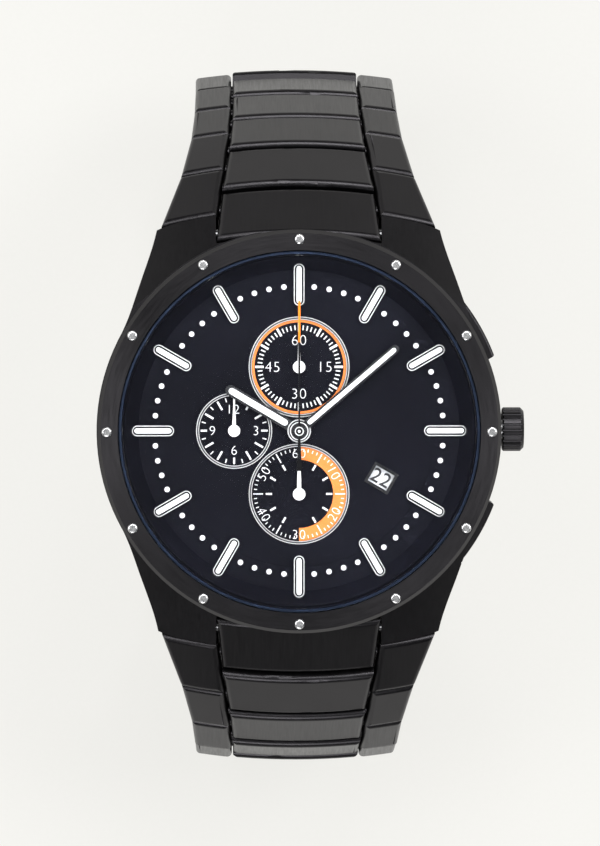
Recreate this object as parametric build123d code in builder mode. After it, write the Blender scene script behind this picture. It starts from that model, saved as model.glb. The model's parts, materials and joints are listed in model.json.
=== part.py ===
from build123d import *
from math import asin, cos, degrees, pi, radians, sin, sqrt
import os

# Chronograph wristwatch on a three-row metal bracelet, in millimetres.
# +Z is the way the dial faces, +Y points to 12 o'clock and +X to the crown.
# The origin is the centre of the case back's outer face.

# ---- driving dimensions ------------------------------------------------------------------

# case
case_radius = 21.15
case_bottom = 0.8
case_top = 8.4
cavity_radius = 15.3
dial_seat_radius = 17.6
glass_seat_radius = 18.8
back_radius = 17.0
back_thickness = 1.5
back_seat_radius = back_radius + 0.08
lug_half_width = 14.4
lug_slot_half = 8.68
lug_pin_seat = 1.2
stem_height = 4.6

back_screw_circle = 16.3
back_screw_radius = 0.3
back_screw_head = 0.6

# bezel and glass
bezel_radius = 21.05
bezel_top = 10.5
crystal_radius = 18.55
crystal_bottom = 8.95
crystal_top = 10.65
stud_circle = 20.05
stud_radius = 0.54

# dial
dial_radius = 17.4
dial_bottom = 6.75
dial_top = 7.15
dial_groove_radius = 14.2
recess_depth = 0.12
marker_start = 13.05
marker_end = 17.5
marker_width = 1.14
marker_top = 7.5
small_seconds_centre = (0, 6.67)
chrono_minute_centre = (0, -6.63)
chrono_hour_centre = (-6.79, 0)
large_subdial_radius = 5.26
small_subdial_radius = 3.97
subdial_rim = 0.3
date_centre_radius = 9.93
date_clock_angle = 120
date_frame_length = 2.83
date_frame_width = 2.41

# hands, from the dial upwards
arbor_radius = 0.15
arbor_clearance = 0.05
counter_hand_bottom = 7.35
hour_hand_bottom = 7.65
minute_hand_bottom = 8.05
chrono_hand_bottom = 8.4
hand_thickness = 0.15
hour_clock_angle = 300.6
minute_clock_angle = 49.5
cannon_radius = 0.42
hour_tube_radius = 0.75

# motion work: cannon pinion, minute wheel and its pinion, hour wheel
motion_centre_distance = 2.4
motion_angle = 45
cannon_teeth = 12
minute_wheel_teeth = 36
minute_pinion_teeth = 10
hour_wheel_teeth = 40

# crown and pushers
crown_radius = 2.3
crown_inner_x = 21.35
crown_outer_x = 23.6
tube_radius = 1.0
stem_radius = 0.55
pusher_radius = 21.9
pusher_inner_radius = 20.75
pusher_half_width = 3.5
pusher_half_height = 2.1
pusher_travel = 0.8
pusher_clearance = 0.1
pusher_stem_radius = 0.7
pusher_edge = sqrt(pusher_inner_radius**2 - (pusher_half_width + pusher_clearance) ** 2)
pusher_floor = pusher_edge - pusher_travel - 0.1
pusher_clock_angles = (60, 120)

# bracelet: each link is a centre piece and two side pieces, half a pitch apart
pitch = 7.2
quarter = pitch / 4
link_outer = 2.0
link_inner = 1.5
link_gap = 0.14
link_round = 0.6
hinge_pin_radius = 0.6
pin_clearance = 0.06
centre_halves = (8.6, 8.0, 7.25, 6.9, 6.8, 6.8, 6.8, 6.8, 6.8)
side_halves = (14.4, 12.35, 11.3, 10.95, 10.85, 10.85, 10.85, 10.85)
link_count = 7
hinge_height = 5.0
twelve_hinge_y = 20.4
six_hinge_y = 20.6
twelve_lug_angle = 40
six_lug_angle = 32
twelve_angles = (48, 58, 67, 71, 78, 115, 150)
six_angles = (40, 54, 64, 76, 88, 115, 150)

# folding clasp: a bow about one centre below the wrist
bow_outer = 80.0
bow_plate = 1.0
bow_wall_inner = 76.2
bow_half_width = 10.75
bow_wall = 1.3
bow_end_angle = -18.0
blade_thickness = 0.8
blade_half_width = 6.3
outer_blade_radius = 77.7
inner_blade_radius = 76.3
clasp_pin_radius = 0.4
knuckle_radius = 0.8
blade_hinge_angle = -16.4
fold_hinge_angle = 14.2
fold_hinge_radius = 77.35
button_angle = 2.0
button_length = 7.0
button_height = 1.8
button_proud = 0.5


# ---- helpers -----------------------------------------------------------------------------

def turned(*points):
    """A piece turned about the watch's axis from its half section, as (radius, height) points."""
    with BuildPart() as piece:
        with BuildSketch(Plane.XZ):
            with BuildLine():
                Polyline(*points, close=True)
            make_face()
        revolve(axis=Axis.Z)
    return piece.part


def ring(inner, outer, low, high):
    """A plain ring about the watch's axis."""
    return turned((inner, low), (outer, low), (outer, high), (inner, high))


def clock_plane(height, angle, radius=0.0):
    """A plane whose +Y points outwards along a clock angle, in degrees clockwise from 12."""
    turn = radians(angle)
    return Plane(
        origin=(radius * sin(turn), radius * cos(turn), height),
        x_dir=(cos(turn), -sin(turn), 0),
        z_dir=(0, 0, 1),
    )


def radial_plane(angle, radius):
    """A plane facing outwards at a clock angle: +X of it runs along the flank, +Y of it is up."""
    turn = radians(angle)
    return Plane(
        origin=(radius * sin(turn), radius * cos(turn), stem_height),
        x_dir=(-cos(turn), sin(turn), 0),
        z_dir=(sin(turn), cos(turn), 0),
    )


def link_plane(side, y, z, angle):
    """A link's own frame: origin on its hinge, +Y along the bracelet, +Z away from the wrist."""
    slope = radians(angle)
    return Plane(
        origin=(0, side * y, z),
        x_dir=(side, 0, 0),
        z_dir=(0, side * sin(slope), cos(slope)),
    )


def chain_planes(side, first_y, angles):
    """The frames of one side's links, and the point where the last one ends."""
    y, z = first_y, hinge_height
    planes = []
    for angle in angles:
        planes.append(link_plane(side, y, z, angle))
        y += pitch * cos(radians(angle))
        z -= pitch * sin(radians(angle))
    return planes, (side * y, z)


def crown_radius_of(index):
    """Radius of the arch across the bracelet: tighter beside the case, flatter further away."""
    return min(38 + 8 * index, 76)


def arch(half_width, radius):
    """A flat blank with an arched top, as a sketch in a link's cross-section."""
    drop = radius - sqrt(radius ** 2 - half_width ** 2)
    with BuildSketch() as section:
        with BuildLine():
            ThreePointArc((-half_width, link_outer - drop), (0, link_outer), (half_width, link_outer - drop))
            Polyline(
                (half_width, link_outer - drop),
                (half_width, -8 * link_inner),
                (-half_width, -8 * link_inner),
                (-half_width, link_outer - drop),
            )
        make_face()
    return section.sketch


def hinge_nose(centre_y, direction):
    """The stock outside the round lower half of a hinge end, as a sketch in a link's side view."""
    with BuildSketch() as waste:
        with Locations((centre_y + direction * 1.5 * quarter, -1.5 * quarter)):
            Rectangle(3 * quarter, 3 * quarter)
        with Locations((centre_y, 0)):
            Circle(quarter, mode=Mode.SUBTRACT)
    return waste.sketch


def centre_piece(index):
    """The middle piece of a link, in the link's own frame."""
    start = centre_halves[index - 1]
    end = centre_halves[index]
    section = arch(15, crown_radius_of(index))
    nose = hinge_nose(0, -1)
    with BuildPart() as piece:
        with BuildSketch(Plane.XY.offset(-link_inner)):
            with BuildLine():
                Polyline(
                    (-start, -quarter),
                    (start, -quarter),
                    (end, 3 * quarter - link_gap),
                    (-end, 3 * quarter - link_gap),
                    close=True,
                )
            make_face()
        extrude(amount=link_inner + link_outer)
        with BuildSketch(Plane.XZ):
            add(section)
        extrude(amount=2 * pitch, both=True, mode=Mode.INTERSECT)
        with BuildSketch(Plane.YZ):
            add(nose)
        extrude(amount=15, both=True, mode=Mode.SUBTRACT)
        fillet(piece.faces().sort_by(Axis.Z)[-1].edges(), radius=link_round)
        with BuildSketch(Plane.YZ):
            Circle(hinge_pin_radius + pin_clearance)
        extrude(amount=15, both=True, mode=Mode.SUBTRACT)
        with BuildSketch(Plane.YZ):
            with Locations((2 * quarter, 0)):
                Circle(hinge_pin_radius)
        extrude(amount=15, both=True, mode=Mode.SUBTRACT)
    return piece.part


def side_pieces(index):
    """The two outer pieces of a link, in the link's own frame."""
    inner_start = (centre_halves[index - 1] + centre_halves[index]) / 2 + link_gap
    inner_end = (centre_halves[index] + centre_halves[index + 1]) / 2 + link_gap
    section = arch(15, crown_radius_of(index))
    nose = hinge_nose(pitch, 1)
    with BuildPart() as pieces:
        with BuildSketch(Plane.XY.offset(-link_inner)):
            with BuildLine():
                Polyline(
                    (inner_start, quarter + link_gap),
                    (side_halves[index - 1], quarter + link_gap),
                    (side_halves[index], 5 * quarter),
                    (inner_end, 5 * quarter),
                    close=True,
                )
            make_face()
        extrude(amount=link_inner + link_outer)
        with BuildSketch(Plane.XZ):
            add(section)
        extrude(amount=2 * pitch, both=True, mode=Mode.INTERSECT)
        with BuildSketch(Plane.YZ):
            add(nose)
        extrude(amount=15, mode=Mode.SUBTRACT)
        fillet(pieces.faces().sort_by(Axis.Z)[-1].edges(), radius=link_round)
        with BuildSketch(Plane.YZ):
            with Locations((2 * quarter, 0), (4 * quarter, 0)):
                Circle(hinge_pin_radius)
        extrude(amount=pin_reach(index) + 0.05, mode=Mode.SUBTRACT)
        mirror(about=Plane.YZ)
    return pieces.part


def pin_reach(index):
    """Half the length of a link's pins."""
    return centre_halves[index - 1] + 1.9


def cross_pin(y, reach, radius=hinge_pin_radius):
    """A pin across the bracelet, in a link's own frame."""
    with BuildPart() as pin:
        with BuildSketch(Plane.YZ):
            with Locations((y, 0)):
                Circle(radius)
        extrude(amount=reach, both=True)
    return pin.part


def bow_point(radius, angle):
    """A (y, z) point of the clasp, by radius and by angle from straight down towards 12 o'clock."""
    return radius * sin(radians(angle)), bow_centre_z - radius * cos(radians(angle))


def bow_strip(inner, outer, start, end, half_width):
    """A curved strip of the clasp between two radii and two angles."""
    middle = (start + end) / 2
    with BuildPart() as strip:
        with BuildSketch(Plane.YZ):
            with BuildLine():
                ThreePointArc(bow_point(outer, start), bow_point(outer, middle), bow_point(outer, end))
                Line(bow_point(outer, end), bow_point(inner, end))
                ThreePointArc(bow_point(inner, end), bow_point(inner, middle), bow_point(inner, start))
                Line(bow_point(inner, start), bow_point(outer, start))
            make_face()
        extrude(amount=half_width, both=True)
    return strip.part


def bow_rod(radius, angle, rod_radius, half_length):
    """A straight rod across the clasp."""
    with BuildPart() as rod:
        with BuildSketch(Plane.YZ):
            with Locations(bow_point(radius, angle)):
                Circle(rod_radius)
        extrude(amount=half_length, both=True)
    return rod.part


def toothed_wheel(teeth, low, high, bore, first_tooth, pitch_radius):
    """A small gear with straight-sided teeth, its first tooth at the given angle."""
    tooth = pi * pitch_radius / teeth
    root = pitch_radius - 0.4 * tooth
    with BuildPart() as wheel:
        with BuildSketch(Plane.XY.offset(low)):
            Circle(root)
            with PolarLocations(pitch_radius, teeth, start_angle=first_tooth):
                Polygon(
                    (-0.6 * tooth, -0.4 * tooth),
                    (0.28 * tooth, -0.24 * tooth),
                    (0.28 * tooth, 0.24 * tooth),
                    (-0.6 * tooth, 0.4 * tooth),
                    align=None,
                )
            Circle(bore, mode=Mode.SUBTRACT)
        extrude(amount=high - low)
    return wheel.part


def at(part, x, y):
    """A copy of a piece moved across the dial."""
    return Pos(x, y, 0) * part


def save(shape, name):
    """Label a finished piece and write it as one sub-part."""
    shape.label = name
    export_step(shape, f"parts/{name}.step")


def save_group(name, *shapes):
    """Write several separate solids as one sub-part."""
    solids = [solid for shape in shapes for solid in shape.solids()]
    save(Compound(label=name, children=solids), name)


os.makedirs("parts", exist_ok=True)

twelve_planes, twelve_end = chain_planes(1, twelve_hinge_y, twelve_angles)
six_planes, six_end = chain_planes(-1, six_hinge_y, six_angles)
bow_hinge = bow_outer - link_outer
bow_centre_z = twelve_end[1] + sqrt(bow_hinge ** 2 - twelve_end[0] ** 2)
clasp_hinge_angle = degrees(asin(twelve_end[0] / bow_hinge))
clasp_plane = link_plane(1, twelve_end[0], twelve_end[1], 180 - clasp_hinge_angle)

# ---- case --------------------------------------------------------------------------------

lug_planes = (
    link_plane(1, twelve_hinge_y, hinge_height, twelve_lug_angle),
    link_plane(-1, six_hinge_y, hinge_height, six_lug_angle),
)
lug_section = arch(24, crown_radius_of(0))
lug_blanks = []
for lug_plane in lug_planes:
    side = lug_plane.x_dir.X
    root = lug_plane.to_local_coords(Vector(0, side * 10, case_bottom))
    shoulder = lug_plane.to_local_coords(Vector(0, side * 10, case_top + 6))
    under = lug_plane.to_local_coords(Vector(0, side * 15.5, case_bottom))
    with BuildPart() as lug:
        with BuildSketch(Plane.YZ):
            with BuildLine():
                Polyline(
                    (root.Y, root.Z),
                    (under.Y, under.Z),
                    (0, -quarter),
                )
                RadiusArc((0, -quarter), (quarter, 0), -quarter)
                Polyline(
                    (quarter, 0),
                    (quarter, link_outer),
                    (shoulder.Y, shoulder.Z),
                    (root.Y, root.Z),
                )
            make_face()
        extrude(amount=lug_half_width + 8, both=True)
        with BuildSketch(Plane.XZ):
            add(lug_section)
        extrude(amount=30, both=True, mode=Mode.INTERSECT)
    lug_blanks.append(lug_plane.location * lug.part)

flank_start = (case_radius * cos(radians(26)), case_radius * sin(radians(26)))
with BuildPart() as lug_outline:
    with BuildSketch(Plane.XY.offset(-2)):
        with BuildLine():
            Polyline((0, 0), (case_radius - 1, 0), flank_start)
            Spline(
                flank_start,
                (17.9, 11.6),
                (16.6, 15.4),
                (15.2, 19.6),
                (lug_half_width + 0.1, 23.5),
            )
            Polyline((lug_half_width + 0.1, 23.5), (0, 23.5), (0, 0))
        make_face()
        mirror(about=Plane.YZ)
        mirror(about=Plane.XZ)
    extrude(amount=14)

with BuildPart() as mid_case:
    with BuildSketch(Plane.XY.offset(case_bottom)):
        Circle(case_radius)
    extrude(amount=case_top - case_bottom)
    fillet(mid_case.faces().sort_by(Axis.Z)[0].edges(), radius=1.2)
    add([blank & lug_outline.part for blank in lug_blanks])
    # slots for the first centre links
    for lug_plane in lug_planes:
        with BuildSketch(Plane(lug_plane.origin, x_dir=lug_plane.y_dir, z_dir=lug_plane.x_dir)):
            with BuildLine():
                Polyline(
                    (-quarter - link_gap, link_outer + 8),
                    (-quarter - link_gap, -quarter),
                    (quarter, -quarter - 0.9),
                    (8 * quarter, -8 * quarter),
                    (12 * quarter, link_outer + 8),
                    close=True,
                )
            make_face()
        extrude(amount=lug_slot_half, both=True, mode=Mode.SUBTRACT)
    # everything above the top face goes, and the glass, dial, movement and back are let in
    with BuildSketch(Plane.XY.offset(case_top)):
        Circle(40)
    extrude(amount=20, mode=Mode.SUBTRACT)
    for radius, low, high in (
        (glass_seat_radius, dial_top, case_top),
        (dial_seat_radius, dial_bottom, dial_top),
        (cavity_radius, back_thickness, dial_bottom),
        (back_seat_radius, case_bottom - 1, back_thickness),
    ):
        with BuildSketch(Plane.XY.offset(low)):
            Circle(radius)
        extrude(amount=high - low, mode=Mode.SUBTRACT)
    # groove for the case back's seal
    with BuildSketch(Plane.XY.offset(back_thickness)):
        Circle(cavity_radius + 0.45)
    extrude(amount=0.4, mode=Mode.SUBTRACT)
    # bores for the crown tube and the first bracelet pins
    with BuildSketch(Plane.YZ.offset(cavity_radius - 1)):
        with Locations((0, stem_height)):
            Circle(tube_radius)
    extrude(amount=10, mode=Mode.SUBTRACT)
    for lug_plane in lug_planes:
        with BuildSketch(Plane(lug_plane.origin, x_dir=lug_plane.y_dir, z_dir=lug_plane.x_dir)):
            Circle(hinge_pin_radius)
        extrude(amount=lug_slot_half + lug_pin_seat + 0.05, both=True, mode=Mode.SUBTRACT)
    # seats and bores for the pushers
    for angle in pusher_clock_angles:
        with BuildSketch(radial_plane(angle, pusher_floor)):
            Rectangle(2 * (pusher_half_width + pusher_clearance), 2 * (pusher_half_height + pusher_clearance))
        extrude(amount=6, mode=Mode.SUBTRACT)
        with BuildSketch(radial_plane(angle, cavity_radius - 1)):
            Circle(tube_radius + 0.25)
        extrude(amount=6, mode=Mode.SUBTRACT)
    # threaded holes for the back's screws
    with BuildSketch(Plane.XY.offset(back_thickness - 0.5)):
        with PolarLocations(back_screw_circle, 4, start_angle=45):
            Circle(back_screw_radius)
    extrude(amount=2.5, mode=Mode.SUBTRACT)
save(mid_case.part, "mid_case")

save_group("lug_pins", *[plane.location * cross_pin(0, lug_slot_half + lug_pin_seat) for plane in lug_planes])

with BuildPart() as case_back:
    add(ring(0.0, back_radius, 0.0, back_thickness))
    fillet(case_back.faces().sort_by(Axis.Z)[0].edges(), radius=0.4)
    with BuildSketch(Plane.XY):
        Circle(13.2)
        Circle(12.9, mode=Mode.SUBTRACT)
    extrude(amount=0.12, mode=Mode.SUBTRACT)
    with BuildSketch(Plane.XY):
        with PolarLocations(back_screw_circle, 4, start_angle=45):
            Circle(back_screw_head + 0.05)
    extrude(amount=0.7, mode=Mode.SUBTRACT)
    with BuildSketch(Plane.XY):
        with PolarLocations(back_screw_circle, 4, start_angle=45):
            Circle(back_screw_radius + 0.05)
    extrude(amount=back_thickness, mode=Mode.SUBTRACT)
save(case_back.part, "case_back")

back_seal = ring(cavity_radius + 0.02, cavity_radius + 0.43, back_thickness, back_thickness + 0.4)

with BuildPart() as back_screws:
    with BuildSketch(Plane.XY.offset(0.2)):
        with PolarLocations(back_screw_circle, 4, start_angle=45):
            Circle(back_screw_head)
    extrude(amount=0.5)
    with BuildSketch(Plane.XY.offset(0.6)):
        with PolarLocations(back_screw_circle, 4, start_angle=45):
            Circle(back_screw_radius)
    extrude(amount=2.6)
    with BuildSketch(Plane.XY.offset(0.2)):
        with PolarLocations(back_screw_circle, 4, start_angle=45):
            Rectangle(2 * back_screw_head, 0.22)
    extrude(amount=0.25, mode=Mode.SUBTRACT)
save(back_screws.part, "case_back_screws")

# ---- bezel, glass and rehaut -------------------------------------------------------------

with BuildPart() as bezel:
    add(
        turned(
            (glass_seat_radius, case_top),
            (bezel_radius - 0.05, case_top),
            (bezel_radius, case_top + 0.25),
            (bezel_radius, bezel_top - 0.55),
            (bezel_radius - 0.35, bezel_top),
            (glass_seat_radius + 0.12, bezel_top),
            (glass_seat_radius, bezel_top - 0.12),
        )
    )
    with BuildSketch(Plane.XY.offset(bezel_top - 0.5)):
        with PolarLocations(stud_circle, 12):
            Circle(stud_radius - 0.1)
    extrude(amount=1, mode=Mode.SUBTRACT)
save(bezel.part, "bezel")

with BuildPart() as bezel_studs:
    with BuildSketch(Plane.XY.offset(bezel_top)):
        with PolarLocations(stud_circle, 12):
            Circle(stud_radius)
    extrude(amount=0.22)
    fillet(bezel_studs.faces().group_by(Axis.Z)[-1].edges(), radius=0.2)
    with BuildSketch(Plane.XY.offset(bezel_top - 0.45)):
        with PolarLocations(stud_circle, 12):
            Circle(stud_radius - 0.1)
    extrude(amount=0.45)
save(bezel_studs.part, "bezel_studs")

save(
    turned(
        (0, crystal_bottom),
        (crystal_radius, crystal_bottom),
        (crystal_radius, crystal_top - 0.2),
        (crystal_radius - 0.2, crystal_top),
        (0, crystal_top),
    ),
    "crystal",
)
save(ring(crystal_radius, glass_seat_radius, crystal_bottom, bezel_top - 0.35), "crystal_gasket")

with BuildPart() as rehaut_ring:
    add(
        turned(
            (16.8, dial_top),
            (glass_seat_radius - 0.05, dial_top),
            (glass_seat_radius - 0.05, crystal_bottom),
            (18.25, crystal_bottom),
            (18.1, crystal_bottom - 0.1),
        )
    )
    # notches for the outer ends of the hour markers
    for hour in range(12):
        with BuildSketch(clock_plane(dial_top, 30 * hour, (marker_start + marker_end) / 2)):
            SlotOverall(marker_end - marker_start + 0.1, marker_width + 0.1, rotation=90)
        extrude(amount=2, mode=Mode.SUBTRACT)
save(rehaut_ring.part, "rehaut_ring")

# ---- dial --------------------------------------------------------------------------------

date_plane = clock_plane(dial_bottom, date_clock_angle, date_centre_radius)
subdials = (
    (small_seconds_centre, large_subdial_radius),
    (chrono_minute_centre, large_subdial_radius),
    (chrono_hour_centre, small_subdial_radius),
)

with BuildPart() as dial:
    with BuildSketch(Plane.XY.offset(dial_bottom)):
        Circle(dial_radius)
    extrude(amount=dial_top - dial_bottom)
    with BuildSketch(Plane.XY.offset(dial_top - 0.08)):
        Circle(dial_groove_radius + 0.06)
        Circle(dial_groove_radius - 0.06, mode=Mode.SUBTRACT)
    extrude(amount=1, mode=Mode.SUBTRACT)
    for centre, radius in subdials:
        with BuildSketch(Plane.XY.offset(dial_top - recess_depth)):
            with Locations(centre):
                Circle(radius)
        extrude(amount=1, mode=Mode.SUBTRACT)
        with BuildSketch(Plane.XY.offset(dial_bottom)):
            with Locations(centre):
                Circle(arbor_radius + arbor_clearance)
        extrude(amount=1, mode=Mode.SUBTRACT)
    with BuildSketch(Plane.XY.offset(dial_bottom)):
        Circle(hour_tube_radius + 0.15)
    extrude(amount=1, mode=Mode.SUBTRACT)
    with BuildSketch(date_plane):
        Rectangle(date_frame_width - 0.6, date_frame_length - 0.6)
    extrude(amount=1, mode=Mode.SUBTRACT)
save(dial.part, "dial")

with BuildPart() as subdial_rings:
    for centre, radius in subdials:
        with BuildSketch(Plane.XY.offset(dial_top - recess_depth)):
            with Locations(centre):
                Circle(radius)
                Circle(radius - subdial_rim, mode=Mode.SUBTRACT)
        extrude(amount=recess_depth + 0.1)
save(subdial_rings.part, "subdial_rings")

with BuildPart() as dial_markers:
    for hour in range(12):
        middle = (marker_start + marker_end) / 2
        with BuildSketch(clock_plane(dial_top, 30 * hour, middle)):
            SlotOverall(marker_end - marker_start, marker_width, rotation=90)
        extrude(amount=marker_top - dial_top)
        with BuildSketch(clock_plane(marker_top - 0.08, 30 * hour, middle)):
            SlotOverall(marker_end - marker_start - 0.45, marker_width - 0.5, rotation=90)
        extrude(amount=1, mode=Mode.SUBTRACT)
save(dial_markers.part, "dial_markers")

with BuildPart() as date_frame:
    with BuildSketch(clock_plane(dial_top, date_clock_angle, date_centre_radius)):
        Rectangle(date_frame_width, date_frame_length)
        Rectangle(date_frame_width - 0.6, date_frame_length - 0.6, mode=Mode.SUBTRACT)
    extrude(amount=0.18)
save(date_frame.part, "date_frame")

# ---- movement ----------------------------------------------------------------------------

plate_bottom = 2.6
plate_top = 5.8
plate_rim_top = 6.2
plate_radius = 14.2
motion_well_radius = 8.2
battery_centre = (-6.7, -6.2)
battery_radius = 4.75
coil_angles = (25, 130, 305)
coil_circle = 9.6
minute_stud_radius = 0.17
minute_wheel_x = motion_centre_distance * cos(radians(motion_angle))
minute_wheel_y = motion_centre_distance * sin(radians(motion_angle))

with BuildPart() as main_plate:
    with BuildSketch(Plane.XY.offset(plate_bottom)):
        Circle(plate_radius)
    extrude(amount=plate_rim_top - plate_bottom)
    with BuildSketch(Plane.XY.offset(plate_top)):
        Circle(motion_well_radius)
    extrude(amount=1, mode=Mode.SUBTRACT)
    with BuildSketch(Plane.XY.offset(plate_top - 0.7)):
        with Locations((0, 0), small_seconds_centre, chrono_minute_centre, chrono_hour_centre):
            Circle(arbor_radius + arbor_clearance)
    extrude(amount=1, mode=Mode.SUBTRACT)
    with BuildSketch(Plane.XY.offset(plate_bottom)):
        with Locations(battery_centre):
            Circle(battery_radius + 0.1)
    extrude(amount=1.5, mode=Mode.SUBTRACT)
    with BuildSketch(Plane.XY.offset(plate_bottom)):
        for angle in coil_angles:
            with Locations(clock_plane(0, angle, coil_circle).location):
                Rectangle(6.2, 2.2)
    extrude(amount=1.6, mode=Mode.SUBTRACT)
    with BuildSketch(Plane.YZ.offset(5)):
        with Locations((0, stem_height)):
            Circle(stem_radius + 0.08)
    extrude(amount=12, mode=Mode.SUBTRACT)
    # stud that the minute wheel turns on
    with BuildSketch(Plane.XY.offset(plate_top)):
        with Locations((minute_wheel_x, minute_wheel_y)):
            Circle(minute_stud_radius)
    extrude(amount=0.75)
save(main_plate.part, "movement_main_plate")

with BuildPart() as circuit_board:
    with BuildSketch(Plane.XY.offset(plate_bottom - 0.35)):
        Circle(plate_radius - 0.6)
        with Locations(battery_centre):
            Circle(battery_radius + 0.4, mode=Mode.SUBTRACT)
    extrude(amount=0.3)
save(circuit_board.part, "circuit_board")

with BuildPart() as bridge:
    with BuildSketch(Plane.XY.offset(1.75)):
        Circle(plate_radius - 1.4)
        with Locations(battery_centre):
            Circle(battery_radius + 0.5, mode=Mode.SUBTRACT)
        with Locations((11.5, 5.5)):
            Rectangle(9, 6, rotation=30, mode=Mode.SUBTRACT)
    extrude(amount=0.45)
    with BuildSketch(Plane.XY.offset(1.75)):
        with PolarLocations(10.5, 3, start_angle=80):
            Circle(0.5)
    extrude(amount=0.15, mode=Mode.SUBTRACT)
save(bridge.part, "movement_bridge")

with BuildPart() as battery:
    with BuildSketch(Plane.XY.offset(2.0)):
        with Locations(battery_centre):
            Circle(battery_radius)
    extrude(amount=1.95)
    fillet(battery.faces().sort_by(Axis.Z)[0].edges(), radius=0.3)
save(battery.part, "battery")

with BuildPart() as battery_clamp:
    with BuildSketch(Plane.XY.offset(1.78)):
        with Locations(battery_centre):
            Rectangle(2 * battery_radius, 1.6, rotation=45)
    extrude(amount=0.2)
save(battery_clamp.part, "battery_clamp")

coils = []
for angle in coil_angles:
    coil_frame = clock_plane(plate_bottom + 0.85, angle, coil_circle)
    with BuildPart() as coil:
        with BuildSketch(Plane(coil_frame.origin, x_dir=coil_frame.y_dir, z_dir=coil_frame.x_dir)):
            Circle(0.7)
        extrude(amount=2.2, both=True)
        with BuildSketch(Plane(coil_frame.origin, x_dir=coil_frame.y_dir, z_dir=coil_frame.x_dir)):
            Rectangle(0.7, 0.5)
        extrude(amount=2.9, both=True)
    coils.append(coil.part)
save_group("motor_coils", *coils)

with BuildPart() as holder:
    add(ring(plate_radius + 0.05, cavity_radius - 0.05, 1.9, 6.7))
    with BuildSketch(Plane.YZ.offset(10)):
        with Locations((0, stem_height)):
            Circle(tube_radius + 0.1)
    extrude(amount=8, mode=Mode.SUBTRACT)
    for angle in pusher_clock_angles:
        with BuildSketch(radial_plane(angle, 10)):
            Circle(tube_radius + 0.35)
        extrude(amount=8, mode=Mode.SUBTRACT)
save(holder.part, "movement_holder")

with BuildPart() as date_disc:
    add(ring(8.5, 11.6, 6.3, 6.5))
    with BuildSketch(Plane.XY.offset(6.3)):
        with PolarLocations(8.5, 31):
            Circle(0.3, mode=Mode.ADD)
    extrude(amount=0.2, mode=Mode.SUBTRACT)
save(date_disc.part, "date_disc")

# ---- motion work -------------------------------------------------------------------------

cannon_pitch = motion_centre_distance * cannon_teeth / (cannon_teeth + minute_wheel_teeth)
wheel_pitch = motion_centre_distance - cannon_pitch
minute_pinion_pitch = (
    motion_centre_distance * minute_pinion_teeth / (minute_pinion_teeth + hour_wheel_teeth)
)
hour_pitch = motion_centre_distance - minute_pinion_pitch
away = motion_angle + 180

cannon_gear = toothed_wheel(cannon_teeth, 5.9, 6.1, 0.2, motion_angle, cannon_pitch)
with BuildPart() as cannon_pinion:
    add(cannon_gear)
    add(ring(0.2, cannon_radius, 5.9, minute_hand_bottom + hand_thickness))
save(cannon_pinion.part, "cannon_pinion")

minute_gear = at(
    toothed_wheel(
        minute_wheel_teeth, 5.93, 6.08, 0.22, away + 180 / minute_wheel_teeth, wheel_pitch
    ),
    minute_wheel_x,
    minute_wheel_y,
)
minute_leaves = at(
    toothed_wheel(
        minute_pinion_teeth, 6.08, 6.45, 0.22, away + 180 / minute_pinion_teeth, minute_pinion_pitch
    ),
    minute_wheel_x,
    minute_wheel_y,
)
with BuildPart() as minute_wheel:
    add(minute_gear)
    add(minute_leaves)
save(minute_wheel.part, "minute_wheel")

hour_gear = toothed_wheel(hour_wheel_teeth, 6.25, 6.42, 0.47, motion_angle, hour_pitch)
with BuildPart() as hour_wheel:
    add(hour_gear)
    add(ring(0.47, hour_tube_radius, 6.25, hour_hand_bottom + hand_thickness))
save(hour_wheel.part, "hour_wheel")

# ---- hands -------------------------------------------------------------------------------

def baton_hand(name, height, angle, length, width, hub_radius, bore_radius, lume_start, lume_width):
    """A flat baton hand with a pocket for its luminous strip."""
    with BuildPart() as hand:
        with BuildSketch(clock_plane(height, angle)):
            with Locations((0, (length - width / 2) / 2)):
                Rectangle(width, length - width / 2)
            with Locations((0, length - width / 2)):
                Circle(width / 2)
            Circle(hub_radius)
            Circle(bore_radius, mode=Mode.SUBTRACT)
        extrude(amount=hand_thickness)
        with BuildSketch(clock_plane(height + hand_thickness - 0.06, angle)):
            with Locations((0, (lume_start + length - 0.35) / 2)):
                SlotOverall(length - 0.35 - lume_start, lume_width, rotation=90)
        extrude(amount=1, mode=Mode.SUBTRACT)
    save(hand.part, name)


baton_hand("hour_hand", hour_hand_bottom, hour_clock_angle, 8.87, 1.15, 1.25, hour_tube_radius, 1.4, 0.68)
baton_hand("minute_hand", minute_hand_bottom, minute_clock_angle, 13.6, 0.9, 1.0, cannon_radius, 1.2, 0.5)


def needle_hand(name, centre, height, length, root_width, tip_width, hub_radius, tail=0.0, tail_width=0.0):
    """A tapered needle at 12 on its own arbor."""
    with BuildPart() as hand:
        with BuildSketch(Plane.XY.offset(height)):
            with Locations(centre):
                Polygon(
                    (-root_width / 2, 0),
                    (root_width / 2, 0),
                    (tip_width / 2, length),
                    (-tip_width / 2, length),
                    align=None,
                )
                Circle(hub_radius)
                if tail:
                    Polygon(
                        (-root_width / 2, 0),
                        (-tail_width / 2, -tail),
                        (tail_width / 2, -tail),
                        (root_width / 2, 0),
                        align=None,
                    )
        extrude(amount=hand_thickness)
        with BuildSketch(Plane.XY.offset(height + hand_thickness)):
            with Locations(centre):
                Circle(hub_radius * 0.45)
        extrude(amount=0.1)
        with BuildSketch(Plane.XY.offset(plate_top - 0.6)):
            with Locations(centre):
                Circle(arbor_radius)
        extrude(amount=height - plate_top + 0.6)
    save(hand.part, name)


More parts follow.
